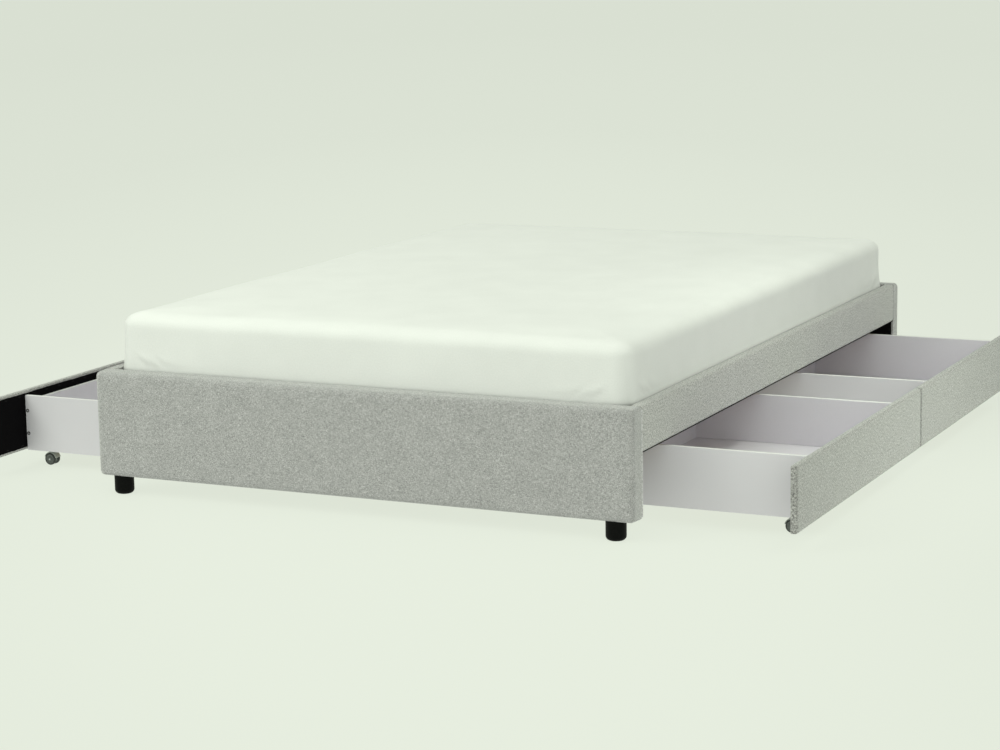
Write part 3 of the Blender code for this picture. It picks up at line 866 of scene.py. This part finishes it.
def add_bolts():
    """Socket bolts through the brackets, the ledges and the hangers."""
    bolts = []
    for side, out in SIDES:
        for end, inward in ENDS:
            low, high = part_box(f"corner_bracket_{side}_{end}")
            middle = (low + high) / 2
            inner_x = end_of(low, high, 0, out) - out * 3 * MM
            inner_y = end_of(low, high, 1, -inward) + inward * 3 * MM
            for along in (-6 * MM, 10 * MM):
                on_rail = facing((inner_x, middle.y + inward * along, middle.z), (-out, 0, 0))
                on_panel = facing((middle.x - out * along, inner_y, middle.z), (0, inward, 0))
                bolts.append(move(hex_bolt(4.6 * MM, 3 * MM), on_rail))
                bolts.append(move(hex_bolt(4.6 * MM, 3 * MM), on_panel))
    for end, _ in ENDS:
        low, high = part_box(f"beam_hanger_{end}")
        for x, out in ((low.x, -1), (high.x, 1)):
            for z in (low.z + 14 * MM, low.z + 34 * MM):
                place = (x, (low.y + high.y) / 2, z)
                bolts.append(move(hex_bolt(4 * MM, 2.6 * MM), facing(place, (out, 0, 0))))
    add_piece("frame_bolts", unite(bolts), [ZINC], BED)

    screws = []
    for side, out in SIDES:
        low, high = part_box(f"slat_ledge_{side}")
        face = end_of(low, high, 0, -out)
        run = high.y - low.y - 2 * LEDGE_SCREW_FROM_END
        for number in range(LEDGE_SCREWS):
            y = low.y + LEDGE_SCREW_FROM_END + run * number / (LEDGE_SCREWS - 1)
            place = (face, y, (low.z + high.z) / 2)
            screws.append(move(cross_screw(4 * MM, number * 0.7), facing(place, (-out, 0, 0))))
    add_piece("ledge_screws", unite(screws), [ZINC], BED)


def add_slats():
    """Fourteen planed slats and the two woven tapes stapled under their spacing."""
    low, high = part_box("slat_roll")
    pitch = (high.y - low.y - SLAT_WIDTH) / (SLAT_COUNT - 1)
    for number in range(SLAT_COUNT):
        start = low.y + number * pitch
        slat = cuboid((low.x, start, low.z), (high.x, start + SLAT_WIDTH, high.z), 2 * MM, 3)
        name = f"slat_{number + 1:02d}"
        even_out(add_piece(name, slat, [SLAT_WOOD], BED, ["slat_roll"]))
    for side, out in SIDES:
        x = out * TAPE_FROM_MIDDLE
        tape = cuboid(
            (x - TAPE_WIDTH / 2, low.y + TAPE_FROM_END, low.z - 0.1 * MM),
            (x + TAPE_WIDTH / 2, high.y - TAPE_FROM_END, low.z + TAPE_THICKNESS),
            0.4 * MM,
        )
        add_piece(f"slat_tape_{side}", tape, [TAPE], BED, ["slat_roll"])


# ---- the mattress ----


def settle(piece, held, pressure, cap):
    """Lets the cloth take its shape over the mattress; no point moves further than cap."""
    group = piece.vertex_groups.new(name="held")
    group.add(held, 1.0, "REPLACE")
    start = [vert.co.copy() for vert in piece.data.vertices]
    cloth = piece.modifiers.new("settle", "CLOTH")
    cloth.settings.quality = 5
    cloth.settings.mass = 0.25
    cloth.settings.use_pressure = True
    cloth.settings.uniform_pressure_force = pressure
    cloth.settings.vertex_group_mass = "held"
    cloth.settings.effector_weights.gravity = 0
    cloth.collision_settings.use_collision = False
    for step in range(1, 21):
        bpy.context.scene.frame_set(step)
    settled = piece.evaluated_get(bpy.context.evaluated_depsgraph_get())
    ends = [vert.co.copy() for vert in settled.data.vertices]
    piece.modifiers.remove(cloth)
    piece.vertex_groups.remove(group)
    bpy.context.scene.frame_set(1)
    for vert, before, after in zip(piece.data.vertices, start, ends):
        shift = after - before
        if shift.length > cap:
            shift *= cap / shift.length
        vert.co = before + shift
    piece.data.update()


def sheet_lines(low, high):
    """Grid lines of the sheet: close near the corners, where it creases, and wide in the middle."""
    corner, fine, coarse = 120 * MM, 6.5 * MM, 34 * MM
    lines = []
    for axis in range(2):
        radius = SHEET_ROUND[axis]
        spaces = [(corner, fine), (None, coarse), (corner, fine)]
        lines.append(stations(low[axis], high[axis], radius, radius, spaces))
    spaces = [(None, 8 * MM)]
    lines.append(stations(low[2], high[2], SHEET_ROUND[2], SHEET_ROUND[2], spaces))
    return lines


def pull_creases(bm, low, high, panel_top):
    """Short slanting creases where the sheet is pulled round the lower corners of the mattress."""
    for x_side, y_side in ((-1, -1), (-1, 1), (1, -1), (1, 1)):
        corner = (end_of(low, high, 0, x_side), end_of(low, high, 1, y_side))
        for axis, side in ((0, x_side), (1, y_side)):
            for number in range(CREASES_PER_SIDE):
                centre = Vector((*corner, panel_top + 22 * MM))
                centre[axis] -= side * (88 + 27 * number) * MM
                centre.z += (6 - 5 * (number % 2)) * MM
                along = Vector((0, 0, 0.55))
                along[axis] = side * 0.85
                height = (3.4 - 0.5 * number) * MM
                crease(bm, centre, along.normalized(), 24 * MM, 4.4 * MM, height, 1 - axis)


def crease(bm, centre, along, half_length, half_width, height, normal_axis):
    """Raises a slim ridge with a shallow valley beside it."""
    for vert in bm.verts:
        offset = vert.co - centre
        if abs(offset[normal_axis]) > 30 * MM or offset.length > 3 * half_length:
            continue
        offset[normal_axis] = 0
        run = offset.dot(along)
        cross = offset - along * run
        side = cross.z / half_width
        fade = math.exp(-((run / half_length) ** 2))
        ridge = math.exp(-(side**2)) - 0.55 * math.exp(-((side + 1.9) ** 2))
        outward = math.copysign(1, centre[normal_axis])
        vert.co[normal_axis] += outward * height * fade * ridge


def add_mattress():
    low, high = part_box("mattress")
    panel_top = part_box("foot_panel")[1].z
    core_low = low + Vector((SHEET_CORE_GAP, SHEET_CORE_GAP, 1.6 * MM))
    core_high = high - Vector((SHEET_CORE_GAP, SHEET_CORE_GAP, SHEET_CORE_GAP))
    radii = [radius - 4 * MM for radius in SHEET_ROUND]
    front = (2, 1)
    lines = [
        stations(core_low[axis], core_high[axis], radii[axis], radii[axis], [(None, CORE_STEP)])
        for axis in range(3)
    ]
    bm = gridded_box(lines)
    lay_cloth(bm, core_low, core_high, front)
    round_off(bm, core_low, core_high, front, radii, radii)
    core = add_piece("mattress_core", bm, [TICKING], BED, ["mattress"], 180)

    sheet_low = low + Vector((1 * MM, 1 * MM, 0.4 * MM))
    sheet_high = high - Vector((1 * MM, 1 * MM, 2 * MM))
    bm = gridded_box(sheet_lines(sheet_low, sheet_high))
    lay_cloth(bm, sheet_low, sheet_high, front)
    round_off(bm, sheet_low, sheet_high, front, SHEET_ROUND, SHEET_ROUND)
    opening = []
    for face in bm.faces:
        middle = face.calc_center_median()
        in_x = abs(middle.x) < sheet_high.x - SHEET_TUCK
        in_y = sheet_low.y + SHEET_TUCK < middle.y < sheet_high.y - SHEET_TUCK
        if in_x and in_y and middle.z < sheet_low.z + 1 * MM:
            opening.append(face)
    bmesh.ops.delete(bm, geom=opening, context="FACES")
    bm.verts.index_update()
    held = [vert.index for vert in bm.verts if vert.co.z < low.z + 40 * MM]
    sheet = add_piece("mattress_sheet", bm, [SHEET], BED, ["mattress"], 180)
    settle(sheet, held, 3.0, 5 * MM)
    bm = bmesh.new()
    bm.from_mesh(sheet.data)
    pull_creases(bm, sheet_low, sheet_high, panel_top)
    spill_over(bm, panel_top)
    soft_dips(bm, sheet_low.z)
    bm.to_mesh(sheet.data)
    bm.free()
    thick = sheet.modifiers.new("cloth_thickness", "SOLIDIFY")
    thick.thickness = SHEET_THICKNESS
    thick.offset = -1
    hem = add_hem(sheet_low, sheet_high)


def spill_over(bm, panel_top):
    """Lets the mattress bulge over the rails that hold it, most just above them."""
    for vert in bm.verts:
        squeezed = min(max((vert.co.z - panel_top + 12 * MM) / (6 * MM), 0), 1)
        flare = max(0, 1 - max(vert.co.z - panel_top, 0) / FLARE_HEIGHT)
        spread = squeezed * (SPILL + FLARE * flare * flare)
        vert.co.x *= 1 + spread / SPILL_SCALE[0]
        vert.co.y *= 1 + spread / SPILL_SCALE[1]


def soft_dips(bm, bottom):
    """The broad, slight unevenness of a used mattress under its sheet."""
    for vert in bm.verts:
        if vert.co.z < bottom + 60 * MM:
            continue
        dip = noise.noise(vert.co * 3.1) + 0.35 * noise.noise(vert.co * 9.7)
        vert.co += vert.normal * dip * 1.5 * MM


def add_hem(low, high):
    """The elastic casing round the opening under the mattress."""
    points = []
    half = Vector((high.x - SHEET_TUCK, (high.y - low.y) / 2 - SHEET_TUCK))
    centre_y = (low.y + high.y) / 2
    for quarter, (x_sign, y_sign) in enumerate(((1, 1), (-1, 1), (-1, -1), (1, -1))):
        centre = Vector((x_sign * (half.x - HEM_CORNER), y_sign * (half.y - HEM_CORNER)))
        for step in range(9):
            angle = math.pi / 2 * (quarter + step / 8)
            points.append(centre + HEM_CORNER * Vector((math.cos(angle), math.sin(angle))))
    line = bpy.data.curves.new("mattress_sheet_hem", "CURVE")
    line.dimensions = "3D"
    line.bevel_depth = HEM_RADIUS
    line.bevel_resolution = 2
    spline = line.splines.new("POLY")
    spline.points.add(len(points) - 1)
    for point, place in zip(spline.points, points):
        point.co = (place.x, place.y + centre_y, low.z + 1.3 * MM, 1)
    spline.use_cyclic_u = True
    curve = bpy.data.objects.new("mattress_sheet_hem_line", line)
    show(curve)
    bpy.context.view_layer.update()
    final = curve.evaluated_get(bpy.context.evaluated_depsgraph_get())
    mesh = bpy.data.meshes.new_from_object(final)
    bpy.data.objects.remove(curve)
    bm = bmesh.new()
    bm.from_mesh(mesh)
    bpy.data.meshes.remove(mesh)
    lay_cloth(bm, low, high, (2, 1))
    return add_piece("mattress_sheet_hem", bm, [SHEET], BED, (), 180)


# ---- the drawers ----


def finished_board(node, thickness_axis):
    """The CAD board with small edge bevels: melamine faces, and a white band on its edges."""
    bm = bmesh.new()
    bm.from_mesh(frame["nodes"][node].data)
    bmesh.ops.remove_doubles(bm, verts=bm.verts, dist=MERGED)
    bmesh.ops.dissolve_limit(bm, angle_limit=math.radians(1), verts=bm.verts, edges=bm.edges)
    bevel_edges(bm, sharp_edges(bm, 40), EDGE_BEVEL, 2)
    bm.normal_update()
    for face in bm.faces:
        face.material_index = 0 if abs(face.normal[thickness_axis]) > 0.9 else 1
    name, finishes = f"{node}_board", [MELAMINE, EDGE_BAND]
    even_out(add_piece(name, bm, finishes, body_of(node), [node]))


def body_of(node):
    return frame["nodes"][node]["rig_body"]


class Drawer:
    """One drawer's pieces. `out` is the sign of the direction it opens to."""

    def __init__(self, name, out):
        self.name = name
        self.out = out
        self.body = body_of(f"{name}_front")

    def box(self, part):
        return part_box(f"{self.name}_{part}")

    def add_front(self):
        node, front = f"{self.name}_front", (0, self.out)
        add_padded_board(node, FRONT_CLOTH_PAINTED_DARKER, self.body, front, FRONT_STEP, *FRONT_PADDING)

    def add_boards(self):
        for part, axis in (("inner_front", 0), ("back", 0), ("end_side", 1), ("middle_side", 1)):
            finished_board(f"{self.name}_{part}", axis)

    def add_floor(self):
        low, high = self.box("floor")
        bottom = (low.x, low.y, FLOOR_BOTTOM)
        top = (high.x, high.y, FLOOR_BOTTOM + FLOOR_THICKNESS)
        floor = cuboid(bottom, top, 0.3 * MM, 1)
        for face in floor.faces:
            face.material_index = 0 if face.normal.z > 0.5 else 1
        node, finishes = f"{self.name}_floor", [MELAMINE, HARDBOARD]
        even_out(add_piece(f"{node}_board", floor, finishes, self.body, [node]))

    def add_screws(self):
        """Black countersunk screws through the sides into the inner front and the back."""
        heads = []
        boards = [self.box(part) for part in ("inner_front", "back")]
        columns = [(low.x + high.x) / 2 for low, high in boards]
        floor_low, floor_high = self.box("floor")
        middle_y = (floor_low.y + floor_high.y) / 2
        for part in ("end_side", "middle_side"):
            low, high = self.box(part)
            outward = 1 if low.y > middle_y else -1
            face = end_of(low, high, 1, outward)
            for x in columns:
                for number, depth in enumerate(SIDE_SCREW_DEPTHS):
                    place = (x, face + outward * 0.1 * MM, high.z - depth)
                    head = cross_screw(SCREW_RADIUS, 0.4 + 0.9 * number)
                    heads.append(move(head, facing(place, (0, outward, 0))))
        add_piece(f"{self.name}_side_screws", unite(heads), [BLACK_SCREW], self.body)

    def add_castors(self):
        for letter in "abcd":
            low, high = self.box(f"wheels_{letter}")
            self.add_castor(letter, (low + high) / 2)

    def add_castor(self, letter, axle):
        name = f"{self.name}_castor_{letter}"
        node = f"{self.name}_wheels_{letter}"
        across = Matrix.Translation(axle) @ Matrix.Rotation(math.pi / 2, 4, "X")
        wheels = unite([move(castor_wheel(side), across) for side in (1, -1)])
        for face in wheels.faces:
            middle = face.calc_center_median() - axle
            middle.y = 0
            face.material_index = 0 if middle.length > 0.78 * WHEEL_RADIUS else 1
        add_piece(f"{name}_wheels", wheels, [TREAD, HUB], body_of(node), [node])
        axle_pin = turned(rod_profile(2.4 * MM, -15 * MM, 15 * MM, 0.4 * MM), 16)
        add_piece(f"{name}_axle", move(axle_pin, across), [ZINC], body_of(node))
        hood = move(castor_hood(self.out), Matrix.Translation(axle))
        floor_node = f"{self.name}_floor"
        add_piece(f"{name}_fork", hood, [HOOD], self.body, [floor_node])
        plate_top = PLATE_BOTTOM + PLATE_THICKNESS
        plate = square_slab(axle, PLATE_BOTTOM, plate_top, 0.5 * MM)
        even_out(add_piece(f"{name}_plate", plate, [ZINC], self.body, [floor_node]))
        screws = []
        off = PLATE_SCREW_FROM_MIDDLE
        for x, y in ((-1, -1), (-1, 1), (1, -1), (1, 1)):
            place = (axle.x + x * off, axle.y + y * off, PLATE_BOTTOM - 0.1 * MM)
            screw = cross_screw(3 * MM, 0.3 + x * 0.5 + y * 0.2)
            screws.append(move(screw, facing(place, (0, 0, -1))))
        add_piece(f"{name}_screws", unite(screws), [ZINC], self.body)
        block = square_slab(axle, plate_top, FLOOR_BOTTOM, 1 * MM)
        even_out(add_piece(f"{name}_block", block, [RAIL_WOOD], self.body, [floor_node]))


def square_slab(middle, bottom, top, bevel):
    """A slab as wide as the castor's plate, about a place."""
    half = CASTOR_PLATE / 2
    low, high = (middle.x - half, middle.y - half), (middle.x + half, middle.y + half)
    return cuboid((*low, bottom), (*high, top), bevel)


def castor_wheel(side):
    """One of a castor's two wheels about Z: tread, rim, dished hub and cap."""
    bore = (2.6 * MM, WHEEL_INNER)
    tread = ((2.4, 0), (0.9, 0.5), (0, 1.8))  # in mm, below WHEEL_RADIUS and past WHEEL_INNER
    face = (  # in mm, below WHEEL_RADIUS and short of WHEEL_OUTER
        *((0, 2.6), (0.7, 1.1), (2.2, 0.3), (3.2, 0.3)),
        *((3.8, 1.7), (8.6, 2.3), (9.4, 0.5), (10.2, 0)),
    )
    profile = [bore]
    profile += [(WHEEL_RADIUS - down * MM, WHEEL_INNER + on * MM) for down, on in tread]
    profile += [(WHEEL_RADIUS - down * MM, WHEEL_OUTER - back * MM) for down, back in face]
    bm = turned(profile + [(bore[0], WHEEL_OUTER), bore], 40)
    if side < 0:
        bmesh.ops.scale(bm, vec=(1, 1, -1), verts=bm.verts)
        bmesh.ops.reverse_faces(bm, faces=bm.faces)
    return bm


def castor_hood(out):
    """The castor's body about its axle: a web between the wheels, a guard over them, a stem."""
    start, end = math.radians(18), math.radians(168)
    arc = bmesh.new()
    half = WHEEL_OUTER - 2.5 * MM
    corners = [(HOOD_INNER, -half), (HOOD_OUTER, -half), (HOOD_OUTER, half), (HOOD_INNER, half)]
    verts = [
        arc.verts.new((out * radius * math.cos(start), y, radius * math.sin(start)))
        for radius, y in corners
    ]
    face = arc.faces.new(verts)
    turn = {"cent": (0, 0, 0), "axis": (0, -out, 0), "angle": end - start, "steps": 20}
    bmesh.ops.spin(arc, geom=[face], **turn)
    bmesh.ops.recalc_face_normals(arc, faces=arc.faces)
    bevel_edges(arc, sharp_edges(arc, 50), 0.45 * MM, 2)
    half_web = CASTOR_WEB / 2 - 0.3 * MM
    web = turned(rod_profile(11 * MM, -half_web, half_web, 0.6 * MM), 32)
    move(web, Matrix.Rotation(math.pi / 2, 4, "X"))
    tie_top = (9 * MM, half_web, HOOD_OUTER - 0.5 * MM)
    tie = cuboid((-9 * MM, -half_web, 2 * MM), tie_top, 0.6 * MM)
    top = PLATE_BOTTOM - WHEEL_RADIUS
    stem_profile = [(0, HOOD_INNER), (7.5 * MM, HOOD_INNER), (7.5 * MM, top - 5 * MM)]
    stem_profile += [(9.5 * MM, top - 4 * MM), (11 * MM, top - 3 * MM), (11 * MM, top), (0, top)]
    return unite([arc, web, tie, turned(stem_profile, 32)])


# ---- the studio ----

LIGHT_TINT = (0.935, 1.0, 0.868)
SKY = (((0, 0, 1), 0.90), ((0.35, -0.5, 0.79), 0.45))  # where soft light comes from, how much
VIEW_TURN = math.radians(25.35)  # the camera's heading, from +Y towards -X
VIEW_DIP = math.radians(10.363)
VIEW_ROLL = math.radians(-0.994)
VIEW_PLACE = (2.9131, -6.3684, 1.4522)
LENS = 91.21
FLOOR_SIZE = 120.0
PAINTED_SHADE_REACH = (0.60, 0.80)  # how far the painted shadow on the floor under the bed reaches from the middle


def tinted(strength):
    return tuple(strength * channel for channel in LIGHT_TINT)


def add_floor():
    """A pale, emissive floor: painted light, brightest in a broad, soft patch round the bed, with a
    painted shadow under the bed.
    """
    bm = bmesh.new()
    bmesh.ops.create_grid(bm, x_segments=1, y_segments=1, size=FLOOR_SIZE / 2)
    mesh = bpy.data.meshes.new("studio_floor")
    bm.to_mesh(mesh)
    bm.free()
    floor = bpy.data.objects.new("studio_floor", mesh)
    show(floor)
    floor.location.z = -0.4 * MM
    finish = Finish("studio_floor")
    x, y, _ = finish.split(finish.place())
    across = x * math.cos(VIEW_TURN) + y * math.sin(VIEW_TURN) + 0.1
    along = y * math.cos(VIEW_TURN) - x * math.sin(VIEW_TURN)
    off_middle = (across * across + along * along / 9.0).power(0.5)
    # Painted light: the floor is brightest near the bed and fades outwards.
    painted_light_pool = ((0.0, 0.885), (0.11, 0.87), (0.20, 0.83), (0.42, 0.79), (1.0, 0.77))
    stops = [(place, tinted(strength)) for place, strength in painted_light_pool]
    colour = finish.ramp(off_middle / 8.0, *stops)
    # Painted shadow: the floor under the bed is painted near black.
    painted_shade_mask = (x.size() < PAINTED_SHADE_REACH[0]) * (y.size() < PAINTED_SHADE_REACH[1])
    colour = finish.mixed(painted_shade_mask, colour, (0.02, 0.02, 0.02))
    # Painted light: the floor emits light, and this also lights the bed.
    painted_emission = finish.node("Emission", {}, {"Color": colour, "Strength": 0.97})
    cloth = finish.node("BsdfDiffuse", {}, {"Color": (0.86, 0.86, 0.86, 1)})
    finish.node_output(finish.node("MixShader", {}, {0: 0.10, 1: painted_emission, 2: cloth}))
    mesh.materials.append(finish.material)


def add_softbox(name, place, aim, watts, width):
    """A square softbox that stands at a place and shines at a point."""
    data = bpy.data.lights.new(name, "AREA")
    data.energy = watts
    data.size = width
    data.color = LIGHT_TINT
    lamp = bpy.data.objects.new(name, data)
    lamp.location = place
    lamp.rotation_mode = "QUATERNION"
    lamp.rotation_quaternion = (Vector(aim) - Vector(place)).to_track_quat("-Z", "Y")
    show(lamp)
    return data


def add_sky():
    """Soft light from above, and a wide bank of it from the front right."""
    world = bpy.data.worlds.new("studio")
    world.use_nodes = True
    tree = world.node_tree
    background = tree.nodes["Background"]
    background.inputs["Color"].default_value = (*LIGHT_TINT, 1)
    direction = tree.nodes.new("ShaderNodeTexCoord").outputs["Generated"]
    both = tree.nodes.new("ShaderNodeMath")
    both.operation = "ADD"
    tree.links.new(both.outputs[0], background.inputs["Strength"])
    for number, (toward, strength) in enumerate(SKY):
        facing_it = tree.nodes.new("ShaderNodeVectorMath")
        facing_it.operation = "DOT_PRODUCT"
        facing_it.inputs[1].default_value = [strength * part for part in toward]
        tree.links.new(direction, facing_it.inputs[0])
        lit = tree.nodes.new("ShaderNodeMath")
        lit.operation = "MAXIMUM"
        lit.inputs[1].default_value = 0
        tree.links.new(facing_it.outputs["Value"], lit.inputs[0])
        tree.links.new(lit.outputs[0], both.inputs[number])
    bpy.context.scene.world = world


def add_lights():
    add_sky()
    add_softbox("key", (-2.6, -3.6, 3.6), (0.1, -0.1, 0.4), 84, 2.6)
    add_softbox("side", (3.0, -3.4, 1.3), (0.74, -0.9, 0.25), 10, 1.6)
    overhead = add_softbox("overhead", (2.1, -0.3, 3.4), (1.22, -0.1, 0.1), 1.25, 0.5)
    overhead.spread = math.radians(34)


def add_camera():
    data = bpy.data.cameras.new("camera")
    data.lens = LENS
    data.sensor_width = 36
    camera = bpy.data.objects.new("camera", data)
    camera.location = VIEW_PLACE
    turn = Matrix.Rotation(VIEW_TURN, 4, "Z")
    tilt = Matrix.Rotation(math.pi / 2 - VIEW_DIP, 4, "X")
    camera.rotation_euler = (turn @ tilt @ Matrix.Rotation(VIEW_ROLL, 4, "Z")).to_euler()
    show(camera)
    bpy.context.scene.camera = camera
    bpy.context.scene.view_settings.view_transform = "Standard"


# ---- the whole ----

add_camera()
add_lights()
add_floor()
add_upholstered_frame()
add_panel_welts()
add_rail_edges()
dress_plain_frame_parts()
add_legs()
add_bolts()
add_slats()
add_mattress()
for drawer_name, drawer_out in DRAWERS:
    drawer = Drawer(drawer_name, drawer_out)
    drawer.add_front()
    drawer.add_boards()
    drawer.add_floor()
    drawer.add_screws()
    drawer.add_castors()
